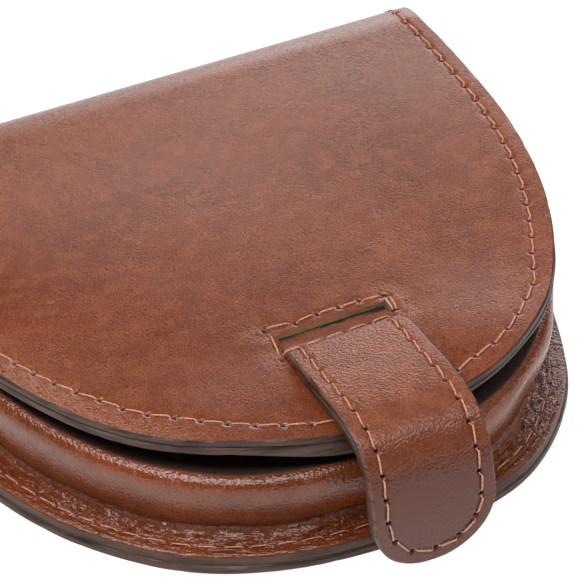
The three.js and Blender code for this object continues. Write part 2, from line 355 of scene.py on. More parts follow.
def mirrored(stitches):
    turn = np.array([-1, 1])
    return [dict(stitch, holes=tuple(hole * turn for hole in stitch["holes"]), out=stitch["out"] * turn)
            for stitch in stitches]


def floatLayer(bm, name):
    return bm.verts.layers.float.get(name) or bm.verts.layers.float.new(name)


stitchReach = 1.6  # a stitch doesn't mark the leather further away than this


def sinkStitches(bm, stitches, look):
    # stitch holes, painted dark as shade, and the groove that a pulled thread presses into the grain side
    shade = floatLayer(bm, "paintedShade")
    verts = [vert for vert in bm.verts if vert.co.z > -0.01]
    flat = np.array([(vert.co.x, vert.co.y) for vert in verts])
    groove, hole = np.zeros(len(verts)), np.zeros(len(verts))
    for stitch in stitches:
        a, b = stitch["holes"]
        near = np.where(np.all(np.abs(flat - (a + b) / 2) < np.abs(b - a) / 2 + stitchReach, axis=1))[0]
        if not len(near):
            continue
        start = a + stitch["out"]
        rel, line = flat[near] - start, b - start
        share = np.clip(rel @ line / (line @ line), 0, 1)
        away = np.linalg.norm(rel - share[:, None] * line, axis=1)
        groove[near] = np.maximum(groove[near], np.exp(-(away / look["grooveWidth"]) ** 2))
        for end in (a, b):
            reach = np.linalg.norm(flat[near] - end, axis=1)
            hole[near] = np.maximum(hole[near], np.exp(-(reach / look["holeWidth"]) ** 3))
    for vert, dip, dark in zip(verts, groove, hole):
        vert.co.z -= look["groove"] * dip + look["hole"] * dark
        vert[shade] = max(vert[shade], dark)


def layDown(bm, lay):
    co = coordinates(bm.verts)
    placed = lay(co[:, 0], co[:, 1], co[:, 2]) * mm
    for vert, place in zip(bm.verts, placed):
        vert.co = place


def addObject(name, data):
    made = bpy.data.objects.new(name, data)
    bpy.context.scene.collection.objects.link(made)
    return made


def addMesh(name, bm):
    mesh = bpy.data.meshes.new(name)
    bm.to_mesh(mesh)
    bm.free()
    return addObject(name, mesh)


def finishPiece(bm, name, materials, replaces=None, sharp=40):
    piece = addMesh(name, bm)
    mesh = piece.data
    for material in materials:
        mesh.materials.append(material)
    mesh.shade_smooth()
    mesh.set_sharp_from_angle(angle=math.radians(sharp))
    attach(piece, "root")
    if replaces:
        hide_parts(replaces)
    print(name, len(mesh.polygons), "faces")


# Thread

threadLook = {
    "radius": 0.125, "sides": 6, "rings": 9, "lift": 0.09, "hook": 0.14, "start": 0.06, "end": 0.86,
    "dive": 0.32, "bunching": 1.4, "swing": 0.05, "uneven": 0.12, "flatness": 0.9,
}


def threadMesh(stitches, lay, look):
    bead = bmesh.new()
    bmesh.ops.create_cone(bead, segments=look["sides"], radius1=1, radius2=1, depth=1, cap_ends=True)
    long = [edge for edge in bead.edges if abs(edge.verts[0].co.z - edge.verts[1].co.z) > 0.5]
    bmesh.ops.subdivide_edges(bead, edges=long, cuts=look["rings"] - 1)
    template = bpy.data.meshes.new("strandTemplate")
    bead.to_mesh(template)
    bead.free()
    bm = bmesh.new()
    for number, stitch in enumerate(stitches):
        before = len(bm.verts)
        bm.from_mesh(template)
        bm.verts.ensure_lookup_table()
        verts = bm.verts[before:]
        co = coordinates(verts)
        a, b = stitch["holes"]
        share = (co[:, 2] + 0.5) ** look["bunching"]
        turn = np.arctan2(co[:, 1], co[:, 0])
        swing = look["swing"] * noise.noise(Vector((number * 2.3, 5.1, 0)))
        hook = smooth(0, look["hook"], share)
        centre = lerp(a, b, lerp(look["start"], look["end"], share)[:, None])
        centre = centre + stitch["out"] * (hook * (1 - share))[:, None]
        ahead = (b - a - stitch["out"]) / np.linalg.norm(b - a - stitch["out"])
        side = np.array([-ahead[1], ahead[0]])
        radius = look["radius"] * (1 + look["uneven"] * noise.noise(Vector((number * 1.7, 0.3, 0))))
        # the thread thins towards both of its holes
        radius = radius * (0.72 + 0.28 * np.sin(np.pi * np.clip(share, 0.02, 0.98)) ** 0.5)
        flat = centre + side * (radius * np.cos(turn) + swing * np.sin(np.pi * share))[:, None]
        rise = stitch.get("rise", look["lift"])
        height = rise - (rise + look["dive"]) * (1 - hook * (1 - smooth(0.82, 1.1, share)))
        placed = lay(flat[:, 0], flat[:, 1], height + radius * np.sin(turn) * look["flatness"]) * mm
        for vert, place in zip(verts, placed):
            vert.co = place
    bpy.data.meshes.remove(template)
    bmesh.ops.recalc_face_normals(bm, faces=bm.faces)
    return bm


def sew(name, stitches, lay, look=threadLook):
    finishPiece(threadMesh(stitches, lay, look), name, [thread])


# Shader helpers

class Value:
    # wraps a socket, so that shader maths reads as an expression
    def __init__(self, shader, socket):
        self.shader, self.socket = shader, socket

    def maths(self, operation, first, second):
        return self.shader.node("Math", {"operation": operation}, {0: first, 1: second})

    def __add__(self, other):
        return self.maths("ADD", self, other)

    def __radd__(self, other):
        return self.maths("ADD", other, self)

    def __sub__(self, other):
        return self.maths("SUBTRACT", self, other)

    def __rsub__(self, other):
        return self.maths("SUBTRACT", other, self)

    def __mul__(self, other):
        return self.maths("MULTIPLY", self, other)

    def __rmul__(self, other):
        return self.maths("MULTIPLY", other, self)


class Shader:
    def __init__(self, name):
        self.material = bpy.data.materials.new(name)
        self.material.use_nodes = True
        self.tree = self.material.node_tree
        self.tree.nodes.clear()

    def feed(self, socket, value):
        if isinstance(value, Value):
            self.tree.links.new(value.socket, socket)
        elif socket.type == "RGBA" and len(value) == 3:
            socket.default_value = (*value, 1)
        else:
            socket.default_value = value

    def node(self, kind, settings=None, inputs=None, output=0):
        made = self.tree.nodes.new("ShaderNode" + kind)
        for key, value in (settings or {}).items():
            setattr(made, key, value)
        for key, value in (inputs or {}).items():
            self.feed(made.inputs[key], value)
        return Value(self, made.outputs[output])

    def mix(self, factor, a, b):
        # the colour sockets of a Mix node are 6 and 7, and its colour comes out at 2
        return self.node("Mix", {"data_type": "RGBA", "clamp_factor": True}, {0: factor, 6: a, 7: b}, 2)

    def noise(self, place, scale, detail, roughness=0.5, output=0):
        inputs = {"Vector": place, "Scale": scale, "Detail": detail, "Roughness": roughness}
        return self.node("TexNoise", None, inputs, output)

    def offset(self, place, by, amount):
        return self.node("VectorMath", {"operation": "MULTIPLY_ADD"}, {0: by, 1: (amount,) * 3, 2: place})

    def layer(self, name):
        # a value painted on the mesh
        return self.node("Attribute", {"attribute_name": name}, None, 2)

    def bump(self, height, strength=1.0, distance=mm):
        return self.node("Bump", None, {"Strength": strength, "Distance": distance, "Height": height})

    def band(self, value, low, high):
        # 0 below low, 1 above high
        settings = {"interpolation_type": "SMOOTHSTEP"}
        return self.node("MapRange", settings, {"Value": value, "From Min": low, "From Max": high})

    def close(self, sockets):
        bsdf = self.tree.nodes.new("ShaderNodeBsdfPrincipled")
        for key, value in sockets.items():
            self.feed(bsdf.inputs[key], value)
        out = self.tree.nodes.new("ShaderNodeOutputMaterial")
        self.tree.links.new(bsdf.outputs[0], out.inputs[0])
        return self.material


def srgb(*colour):
    # a colour as a screen shows it, 0 to 255, made linear
    return tuple(c / 255 / 12.92 if c < 11 else ((c / 255 + 0.055) / 1.055) ** 2.4 for c in colour)


# Finishes

def leatherFinish(name, look):
    # Heights are in millimetres. "crumple" is painted on the mesh where the hide is creased.
    s = Shader(name)
    place = s.node("TexCoord", output=3)
    paintedShade, crumple, smoothed = s.layer("paintedShade"), s.layer("crumple"), s.layer("smoothed")
    along, across = s.layer("along"), s.layer("across")
    warp = s.noise(place, 1100.0, 2.0, output=1)
    bent = s.offset(place, warp, 0.0003)
    fine = s.noise(place, look["fineScale"], 3.0, 0.6)
    cells = s.node("TexVoronoi", {"feature": "SMOOTH_F1"},
                   {"Vector": bent, "Scale": look["cellScale"], "Smoothness": 0.3})
    cloud = s.noise(place, look["cloudScale"], 4.0, 0.6)
    mottle = s.noise(place, look["mottleScale"], 3.0, 0.6)
    askew = s.node("CombineXYZ", None, {"X": (along + across) * 0.5, "Y": (across - along) * 1.2})
    folds = s.node("TexNoise", {"noise_type": "RIDGED_MULTIFRACTAL"},
                   {"Vector": s.offset(askew, bent, look["foldSpread"]), "Scale": 1.0, "Detail": 2.0,
                    "Roughness": 0.7, "Offset": 1.0, "Gain": 1.5})
    height = fine * look["fineRise"] - cells * look["cellRise"]
    height = height * (1 - smoothed * look["smoothing"]) - crumple * folds * look["foldRise"]
    if look["crown"]:
        # the lid is a little rounder from back to front than its plan says
        sagitta = s.node("SeparateXYZ", None, {"Vector": place}, 1) * (1 / look["crownReach"])
        height = height - sagitta * sagitta * look["crown"]
    if look["dashRise"]:
        rolled = s.node("CombineXYZ", None, {"X": along * 0.55, "Y": across * 1.7})
        height = height + s.layer("dashes") * s.noise(rolled, 1.0, 2.0, 0.6) * look["dashRise"]
    colour = s.mix(s.band(cloud, 0.3, 0.7), look["dark"], look["light"])
    colour = s.mix(s.band(mottle, 0.35, 0.75) * look["mottle"], colour, look["speck"])
    colour = s.mix(s.band(fine, 0.54, 0.34) * look["pore"], colour, look["deep"])
    # colour in the valleys of the folds: pale hairlines on the lid, painted shade on the pouch
    colour = s.mix(s.band(folds, 1.0, 1.7) * crumple * look["foldTone"], colour, look["fold"])
    # darker where smoothed: the lid's middle, and on the tab painted shade before the break and a darker
    # tip past it
    colour = s.mix(smoothed * look["dullTone"], colour, look["dull"])
    # painted shade: near black in the stitch holes, on the pouch's top under the lid and on the tab's root
    # down in the slit
    colour = s.mix(s.band(paintedShade, 0.25, 0.7), colour, look["hole"])
    rough = look["rough"] + (mottle - 0.5) * 0.12 + s.band(paintedShade, 0.15, 0.5) * 0.7
    rough = rough - smoothed * look["polish"]
    return s.close({"Base Color": colour, "Roughness": rough, "Normal": s.bump(height),
                    "Specular IOR Level": look["specular"]})


coverLook = {
    "dark": srgb(117, 57, 31), "light": srgb(135, 68, 38), "speck": srgb(160, 92, 58),
    "deep": srgb(72, 29, 14), "cloudScale": 55.0, "mottleScale": 420.0, "mottle": 0.45, "pore": 0.9,
    "rough": 0.27, "specular": 0.55, "polish": 0.11, "dullTone": 0.22, "dull": srgb(88, 40, 21),
    "fineScale": 5600.0, "fineRise": 0.035, "cellScale": 4200.0, "cellRise": 0.025, "smoothing": 0.0,
    # hole is the colour of painted shade: in stitch holes, on the pouch under the lid and on the tab in the
    # slit
    "crown": 0.75, "crownReach": 0.035, "hole": srgb(14, 6, 3), "dashRise": 0,
    "fold": srgb(186, 130, 104), "foldTone": 0.3, "foldSpread": 1900.0, "foldRise": 0.02,
}
shellLook = dict(
    coverLook, dark=srgb(104, 48, 22), light=srgb(126, 60, 28), speck=srgb(140, 74, 40),
    deep=srgb(60, 24, 11), rough=0.2, pore=0.7, fineScale=4800.0, cellScale=2700.0, cellRise=0.065,
    # on the pouch the crease colour is painted shade in the valleys of the folds
    crown=0, dashRise=0.6, fold=srgb(46, 20, 11), foldTone=0.7, foldSpread=0.0, foldRise=0.052,
)
tabLook = dict(
    coverLook, dark=srgb(112, 53, 27), light=srgb(131, 65, 34), speck=srgb(168, 98, 62), rough=0.36,
    pore=0.7, specular=0.47, polish=0.18, dullTone=0.97, dull=srgb(86, 41, 23), fineScale=5000.0,
    fineRise=0.055, cellScale=3000.0, cellRise=0.09, smoothing=0.4, crown=0,
)


def edgePaint(name, look):
    # painted cut edge, with long split lines that run along the layers
    s = Shader(name)
    place = s.node("TexCoord", output=3)
    long = s.node("Mapping", None, {"Vector": place, "Scale": look["layers"]})
    strata, fine = s.noise(long, 1.0, 4.0, 0.6), s.noise(place, 1500.0, 3.0)
    colour = s.mix(s.band(strata, 0.36, 0.62), look["dark"], look["light"])
    colour = s.mix(s.band(strata, 0.3, 0.38), look["split"], colour)
    return s.close({"Base Color": colour, "Roughness": look["rough"] + (fine - 0.5) * 0.2,
                    "Normal": s.bump(strata * 0.1 + fine * 0.03), "Specular IOR Level": 0.35})


edgeLook = {"dark": srgb(46, 28, 21), "light": srgb(80, 55, 45), "split": srgb(30, 16, 12), "rough": 0.45,
            "layers": (160.0, 160.0, 2600.0)}
tabEdgeLook = dict(edgeLook, dark=srgb(66, 34, 26), light=srgb(116, 76, 64))


def fleshSide(name, look):
    s = Shader(name)
    place = s.node("TexCoord", output=3)
    fibres, cloud = s.noise(place, 1400.0, 5.0, 0.7), s.noise(place, 90.0, 3.0)
    colour = s.mix(s.band(cloud, 0.3, 0.7), look["dark"], look["light"])
    colour = s.mix(s.band(fibres, 0.4, 0.65) * 0.5, colour, look["fibre"])
    return s.close({"Base Color": colour, "Roughness": 0.85, "Normal": s.bump(fibres, 0.7, 0.15 * mm)})


fleshLook = {"dark": srgb(92, 66, 50), "light": srgb(116, 86, 66), "fibre": srgb(140, 112, 92)}
rawLook = {"dark": srgb(108, 88, 56), "light": srgb(146, 120, 78), "fibre": srgb(172, 144, 98)}


def threadFinish(name, look):
    s = Shader(name)
    strands = s.noise(s.node("TexCoord", output=3), 5200.0, 2.0)
    colour = s.mix(s.band(strands, 0.35, 0.65), look["dark"], look["light"])
    return s.close({"Base Color": colour, "Roughness": 0.55, "Normal": s.bump(strands, 0.4, 0.05 * mm)})


def brassFinish(name, look):
    s = Shader(name)
    wear = s.noise(s.node("TexCoord", output=3), 700.0, 4.0)
    colour = s.mix(s.band(wear, 0.35, 0.7), look["dark"], look["light"])
    return s.close({"Base Color": colour, "Roughness": 0.28 + wear * 0.2, "Metallic": 1.0})


threadColours = {"dark": srgb(166, 105, 81), "light": srgb(214, 155, 130)}
brassColours = {"dark": srgb(150, 112, 62), "light": srgb(196, 160, 104)}

coverLeather = leatherFinish("coverGrain", coverLook)
shellLeather = leatherFinish("shellGrain", shellLook)
tabLeather = leatherFinish("tabGrain", tabLook)
paintedEdge = edgePaint("paintedEdge", edgeLook)
tabEdge = edgePaint("tabEdge", tabEdgeLook)
flesh = fleshSide("fleshSide", fleshLook)
rawEdge = fleshSide("rawEdge", rawLook)
thread = threadFinish("salmonThread", threadColours)
brass = brassFinish("satinBrass", brassColours)
print("finishes made")

# Cover

cover = {
    "step": 0.8, "rows": [0, 0.25, 0.7, 1.3, 2.0, 2.7, 3.4, 4.2, 5.2, 6.6], "innerRows": 24,
    "poleReach": 34, "rimCuts": 4, "seamCuts": 2, "band": 0.95,
    "pitch": 3.15, "firstHole": 2.75, "firstHoleLeft": 0.4, "baseRise": -0.08,
    "rightSeam": [(0, 2.1), (12, 2.45), (16, 2.65), (20, 2.2), (30, 2.15), (34, 1.8), (38, 2.5), (48, 2.45),
                  (57, 2.1), (75, 1.95), (88, 1.9), (120, 2.3)],
    "leftSeam": [(0, 2.1), (6, 2.2), (11, 2.7), (15, 2.8), (19, 3.5), (24, 3.9), (30, 3.5), (35, 3.6),
                 (40, 3.1), (46, 2.75), (60, 2.4)],
    "edge": {"outset": 0.2, "round": 0.2, "square": 5, "strata": 0.1, "nicks": 0.25, "wander": 0.12,
             "seed": 1.0},
    "stitch": {"groove": 0.1, "grooveWidth": 0.34, "hole": 0.6, "holeWidth": 0.29},
}
slit = {
    "middleX": 3.2, "half": 7.0, "backY": -50.42, "frontY": -54.4, "skew": 0.05, "nearby": 0.3, "cuts": 3,
    "window": (-8.5, 15.0, -59.0, -46.0), "backDip": 0.06, "backReach": 1.5, "frontDip": 0.75,
    "frontReach": 3.6,
    "corners": [(-5.2, -49.4), (11.2, -49.3), (-5.4, -55.0), (11.4, -53.0)],
    "seam": [(-4.5, -48.9), (-0.7, -49.3), (2.25, -48.9), (5.0, -48.9), (7.6, -48.85), (10.6, -49.1)],
    "sideStitches": [  # first hole, second hole, and how far the thread leans to the right
        ((-4.4, -50.0), (-4.9, -54.9), 0.2), ((10.2, -49.3), (10.3, -52.4), 0.1),
        ((10.8, -49.3), (10.75, -52.4), 0.15),
    ],
}


def coverOutline():
    lid = planHalf(lidPlan, 0)
    base = planHalf(basePlan, 0)
    base[:, 1] = spineLength - base[:, 1]
    return Path(np.concatenate([lid, base[::-1]]))


def middleLine(first, last):
    return Path([(0, first), (0, last)])


def crumpleCover(bm):
    # the margin outside the seam and the slit's corners are stretched and hairlined
    crumple, smoothed = floatLayer(bm, "crumple"), floatLayer(bm, "smoothed")
    inset = floatLayer(bm, "inset")
    for vert in bm.verts:
        x, v = vert.co.x, vert.co.y
        if v > 0 or vert.co.z < -0.5:
            continue
        vert[smoothed] = smooth(-18, -62, v) * smooth(-36, -14, x) * smooth(34, 14, x)
        margin = 1 - smooth(1.5, 4.5, vert[inset])
        amount = margin * (1 - smooth(-26, -8, x)) * smooth(-10, -30, v)
        for cornerX, cornerY in slit["corners"]:
            away = math.hypot(x - cornerX, v - cornerY)
            amount = max(amount, (1 - smooth(0.6, 3.2, away)) * smooth(0.2, 0.8, away))
        vert[crumple] = amount


def facesWithin(bm, left, right, front, back):
    within = []
    for face in bm.faces:
        centre = face.calc_center_median()
        if left < centre.x < right and front < centre.y < back:
            within.append(face)
    return within


def cutSlit(bm):
    # finer faces round the slit, then straight cuts along its four sides
    left, right, front, back = slit["window"]
    refine(bm, facesWithin(bm, left, right, front, back), slit["cuts"])
    slitLeft, slitRight = slit["middleX"] - slit["half"], slit["middleX"] + slit["half"]
    sides = [((slitLeft, 0, 0), (1, 0, 0)), ((slitRight, 0, 0), (1, 0, 0)),
             ((0, slit["backY"], 0), (0, 1, 0)), ((0, slit["frontY"], 0), (0, 1, 0))]
    for point, across in sides:
        near = facesWithin(bm, left + 1, right - 1, front + 1, back - 1)
        parts = {part for face in near for part in (*face.verts, *face.edges)}
        bmesh.ops.bisect_plane(bm, geom=near + list(parts), plane_co=point, plane_no=across, dist=tiny)
    inside = facesWithin(bm, slitLeft, slitRight, slit["frontY"], slit["backY"])
    bmesh.ops.delete(bm, geom=inside, context="FACES")


def shapeSlit(bm):
    # the strip behind the slit is pulled down to its raw edge; in front the tab presses the lid
    for vert in bm.verts:
        away = abs(vert.co.x - slit["middleX"]) - slit["half"]
        behind, before = vert.co.y - slit["backY"], slit["frontY"] - vert.co.y
        if away > 3 or behind > 5 or before > 6:
            continue
        if behind > -1e-3:
            shape = (1 - smooth(-1.0, 0.7, away)) * (1 - smooth(0, slit["backReach"], behind)) ** 1.3
            vert.co.z -= slit["backDip"] * shape
        elif before > -1e-3:
            shape = (1 - smooth(-0.3, 0.9, away)) * (1 - smooth(0, slit["frontReach"], before))
            vert.co.z -= slit["frontDip"] * shape
        hold = (1 - smooth(0, 3, away)) * (1 - smooth(0, 5, max(behind, before)))
        vert.co.y += slit["skew"] * (vert.co.x - slit["middleX"]) * hold


def makeStitch(a, b, out):
    return {"holes": (np.array(a), np.array(b)), "out": np.array(out, float)}


def holesToStitches(holes, out):
    return [makeStitch(a, b, out) for a, b in zip(holes, holes[1:])]


outline = coverOutline()
rightLine = outline.inset(cover["rightSeam"])
leftLine = outline.inset(cover["leftSeam"])
coverStitches = stitchesAlong(rightLine, cover["pitch"], cover["firstHole"])
coverStitches += mirrored(stitchesAlong(leftLine, cover["pitch"], cover["firstHoleLeft"], backwards=True))
for made in coverStitches:
    if made["holes"][0][1] > spineLength / 2:
        made["rise"] = cover["baseRise"]
slitStitches = holesToStitches(slit["seam"], (0, -0.12))
slitStitches += [makeStitch(a, b, (lean, 0)) for a, b, lean in slit["sideStitches"]]

middle = middleLine(lidPlan["frontY"] + cover["poleReach"],
                    spineLength - basePlan["frontY"] - cover["poleReach"])
sheet = flatSheet(outline, middle, cover["rows"], cover["innerRows"], cover["step"])
cutSlit(sheet)
thicken(sheet, leather["cover"], cover["rimCuts"])
refineNear(sheet, coverStitches, cover["band"], cover["seamCuts"])
slitLimit = slit["half"] + slit["nearby"]
for face in facesWithin(sheet, slit["middleX"] - slitLimit, slit["middleX"] + slitLimit,
                        slit["frontY"] - slit["nearby"], slit["backY"] + slit["nearby"]):
    if face.material_index == faceSlot["edge"]:
        face.material_index = faceSlot["raw"]
shapeEdges(sheet, leather["cover"], cover["edge"])
sinkStitches(sheet, coverStitches + slitStitches, cover["stitch"])
crumpleCover(sheet)
shapeSlit(sheet)
layDown(sheet, layCover)
finishPiece(sheet, "coverSheet", [coverLeather, flesh, paintedEdge, rawEdge], "cover")
sew("coverThread", coverStitches, layCover)
sew("slitThread", slitStitches, layCover)

# Lining of the lid

lining = {
    "step": 1.2, "rows": [0, 0.4, 1.2, 2.4, 4.0, 7.0], "innerRows": 8, "backY": -1.5, "rimCuts": 5,
    "edge": {"outset": 0.15, "round": 0.18, "square": 5, "strata": 0.12, "nicks": 0.3, "wander": 0.15,
             "seed": 6.0},
}
liningPlan = Path(planHalf(lidPlan, lining["backY"]))
middle = middleLine(lidPlan["frontY"] + cover["poleReach"], lining["backY"])
sheet = flatSheet(liningPlan, middle, lining["rows"], lining["innerRows"], lining["step"])
thicken(sheet, leather["lining"], lining["rimCuts"])
shapeEdges(sheet, leather["lining"], lining["edge"])
layDown(sheet, layLining)
finishPiece(sheet, "liningSheet", [flesh, flesh, paintedEdge], "lid_lining")

# Pouch

pouch = {
    "mouthY": -4.0, "rimWidth": 2.3, "fillet": 1.5, "wallInset": 0.8, "shoulderRadius": 1.9,
    "shoulderDrop": 1.6, "frontHeight": 12.0, "heightGain": 0.06, "heightLimit": 15.2, "poleReach": 26,
    "crownClearance": 0.4, "crownPower": 1.5, "step": 0.4, "pitch": 3.0,
    "seam": [(0, 2.1), (25, 1.9), (60, 1.9)],
    "rows": {"rim": 12, "fillet": 10, "wall": 16, "shoulder": 10, "crown": 12},
    "folds": {"height": 0.26, "spacing": 0.7, "middle": 2.8, "width": 1.6, "drift": 0.5},
    "dents": [(30.5, -50.0, 8.0, 5.0, -0.75), (35.5, -36.0, 7.5, 4.0, 0.3), (23.0, -63.0, 7.5, 5.0, -0.85)],
    "rightSide": (30, 48), "creasedFrom": (14, 30),  # distances along the outline from the front
    # the pouch's top under the lid gets painted shade; flatness is the range of upward tilt over which it
    # grows
    "dashes": (4.5, 3.0), "paintedShadeUnderLid": 0.62, "flatness": (0.87, 0.985),
    "thread": {"radius": 0.095, "lift": 0.05}, "threadBed": 0.12, "throw": 0.1, "firstHoles": (1.0, 0.2),
}
rimTop = shellLow[2] + leather["shell"]


def curveRow(start, corner, end, count):
    # a curve from start towards corner and on to end, without its last point
    row = []
    for k in range(count):
        t = k / count
        row.append(tuple((1 - t) ** 2 * start + 2 * t * (1 - t) * corner + t ** 2 * end))
    return row


def shellProfile(y):
    # insets and heights of the section from the rim's edge to the shoulder's top
    rim, wall, rows = pouch["rimWidth"], pouch["wallInset"], pouch["rows"]
    fillet, shoulder = pouch["fillet"], pouch["shoulderRadius"]
    behindFront = y - basePlan["frontY"] - rim
    top = min(pouch["frontHeight"] + pouch["heightGain"] * behindFront, pouch["heightLimit"])
    widest = top - pouch["shoulderDrop"]
    points = [(rim * k / rows["rim"], rimTop) for k in range(rows["rim"])]
    foot = np.array((rim + fillet, rimTop + fillet * 1.1))
    corner = np.array((rim + fillet * 0.95, rimTop))
    points += curveRow(np.array((rim, rimTop)), corner, foot, rows["fillet"])
    lean = np.array((wall + 0.15, lerp(foot[1], widest, 0.6)))
    points += curveRow(foot, lean, np.array((wall, widest)), rows["wall"])
    for k in range(rows["shoulder"] + 1):
        turn = math.pi / 2 * k / rows["shoulder"]
        points.append((wall + shoulder * (1 - math.cos(turn)), widest + shoulder * math.sin(turn)))
    return points


def shellHalf():
    outline = Path(planHalf(basePlan, pouch["mouthY"]))
    columns = round(outline.length / pouch["step"])
    crown = pouch["rows"]["crown"]
    body = sum(pouch["rows"][key] for key in ("rim", "fillet", "wall", "shoulder"))
    bm = bmesh.new()
    bmesh.ops.create_grid(bm, x_segments=columns, y_segments=body + crown, size=0.5)
    alongLayer, acrossLayer = floatLayer(bm, "along"), floatLayer(bm, "across")
    middle = middleLine(basePlan["frontY"] + pouch["poleReach"], pouch["mouthY"])
    profiles = {}
    for vert in bm.verts:
        share = vert.co.x + 0.5
        row = round((vert.co.y + 0.5) * (body + crown))
        column = round(share * columns)
        along = share * outline.length
        point, ahead = outline.at(along), outline.heading(along)
        if column not in profiles:
            profiles[column] = Path(shellProfile(point[1]))
        profile = profiles[column]
        inset, height = profile.points[min(row, body)]
        inward = np.array([-ahead[1], ahead[0]])
        place = point + inset * inward
        if row > body:
            f = (row - body) / crown
            place = lerp(place, middle.at(share * middle.length), f)
            ceiling = lidTop(place[0], place[1]) - pouch["crownClearance"]
            ceiling = ceiling - leather["cover"] - leather["gap"] - leather["lining"]
            height = lerp(height, ceiling, 1 - (1 - f) ** pouch["crownPower"])
        onMiddle = (share < tiny) or row == body + crown
        vert.co = (0 if onMiddle else place[0], place[1], height)
        vert[alongLayer], vert[acrossLayer] = along, profile.distances[min(row, body)]
    mirrorHalf(bm)
    for vert in bm.verts:
        if vert.co.x < -tiny:
            vert[alongLayer] *= -1
    return bm


def paintShell(bm):
    # a creased right side, dashes along the rim, and painted shade where the lid covers it
    dashes, crumple, paintedShade = floatLayer(bm, "dashes"), floatLayer(bm, "crumple"), floatLayer(bm, "paintedShade")
    along, across = floatLayer(bm, "along"), floatLayer(bm, "across")
    for vert in bm.verts:
        z, a, c = vert.co.z, vert[along], vert[across]
        # painted shade on the pouch's top under the lid, strongest where it lies flat
        if z > rimTop + 6:
            vert[paintedShade] = pouch["paintedShadeUnderLid"] * smooth(*pouch["flatness"], abs(vert.normal.z))
        notRight = 1 - smooth(*pouch["rightSide"], a)
        vert[dashes] = smooth(*pouch["dashes"], c) * smooth(0.1, 0.8, c) * notRight
        wallTop = smooth(rimTop + 8.5, rimTop + 5.0, z) if z > rimTop else 1
        creased = smooth(*pouch["creasedFrom"], a) * wallTop
        vert[crumple] = creased * (0.5 + 0.5 * smooth(2.0, 0.6, abs(c - 2.0)))


def wrinkleShell(bm):
    # folds that run along the crease, small ripples, and a few shallow dents
    along, across = floatLayer(bm, "along"), floatLayer(bm, "across")
    folds = pouch["folds"]
    places = []
    for vert in bm.verts:
        co, a, c = vert.co, vert[along], vert[across]
        rightSide = smooth(*pouch["rightSide"], a)
        crease = math.exp(-((c - folds["middle"]) / folds["width"]) ** 2)
        drift = folds["drift"] * noise.noise(Vector((a * 0.12, 3.1, 0)))
        wave = math.sin(2 * math.pi * (c + drift) / folds["spacing"])
        broken = max(0.0, 0.4 + noise.noise(Vector((a * 0.7, c * 1.3, 0))) * 1.4)
        ripple = noise.noise(Vector((co.x * 0.8, co.y * 0.8, c * 0.4))) * (0.04 + 0.05 * rightSide)
        low = 1 - smooth(rimTop + 2.5, rimTop + 6.5, co.z)
        swell = 0.18 * noise.noise(Vector((co.x * 0.11, co.y * 0.11, 4.4)))
        amount = folds["height"] * wave * broken * crease * (1 - 0.5 * rightSide)
        amount += ripple * low * smooth(0.1, 1.0, c)
        amount += swell * smooth(1.5, 4.0, c)
        onWall = smooth(rimTop + 0.8, rimTop + 2.6, co.z)
        for x, y, z, reach, depth in pouch["dents"]:
            away = (co.x - x) ** 2 + (co.y - y) ** 2 + (co.z - z) ** 2
            amount += onWall * depth * math.exp(-away / reach ** 2)
        places.append(co + vert.normal * amount)
    for vert, place in zip(bm.verts, places):
        vert.co = place


shell = shellHalf()
shell.normal_update()
paintShell(shell)
wrinkleShell(shell)
bmesh.ops.solidify(shell, geom=shell.faces[:], thickness=leather["shell"])
bmesh.ops.recalc_face_normals(shell, faces=shell.faces)
shell.normal_update()
for face in shell.faces:
    # told apart by height: the flesh side, and the cut edge of the rim
    if face.calc_center_median().z < rimTop - 0.6:
        face.material_index = faceSlot["flesh"]
    elif face.normal.z < -0.55 and face.calc_center_median().z > rimTop + 5:
        face.material_index = faceSlot["flesh"]
    heights = [vert.co.z for vert in face.verts]
    upright = abs(face.normal.z) < 0.4 and max(heights) < rimTop + 0.3
    if upright and rimTop - 1.2 < min(heights) < rimTop - 0.5:
        face.material_index = faceSlot["edge"]
for vert in shell.verts:
    strayX, strayY = baseStray(vert.co.x, vert.co.y)
    low = 1 - smooth(rimTop + 1, rimTop + 8, vert.co.z)
    vert.co = ((vert.co.x + strayX * low) * mm, (vert.co.y + strayY * low + foldY) * mm, vert.co.z * mm)
finishPiece(shell, "shellBody", [shellLeather, flesh, paintedEdge], "pouch_shell")


def layRim(x, v, h):
    strayX, strayY = baseStray(x, v)
    return np.stack([x + strayX, v + strayY + foldY, rimTop + pouch["threadBed"] + h], axis=-1)


rimLine = Path(planHalf(basePlan, pouch["mouthY"])).inset(pouch["seam"])
rightHole, leftHole = pouch["firstHoles"]
rimStitches = stitchesAlong(rimLine, pouch["pitch"], rightHole, throw=pouch["throw"])
leftStitches = stitchesAlong(rimLine, pouch["pitch"], leftHole, backwards=True, throw=pouch["throw"])
rimStitches += mirrored(leftStitches)
sew("rimThread", rimStitches, layRim, dict(threadLook, **pouch["thread"]))

# Tab

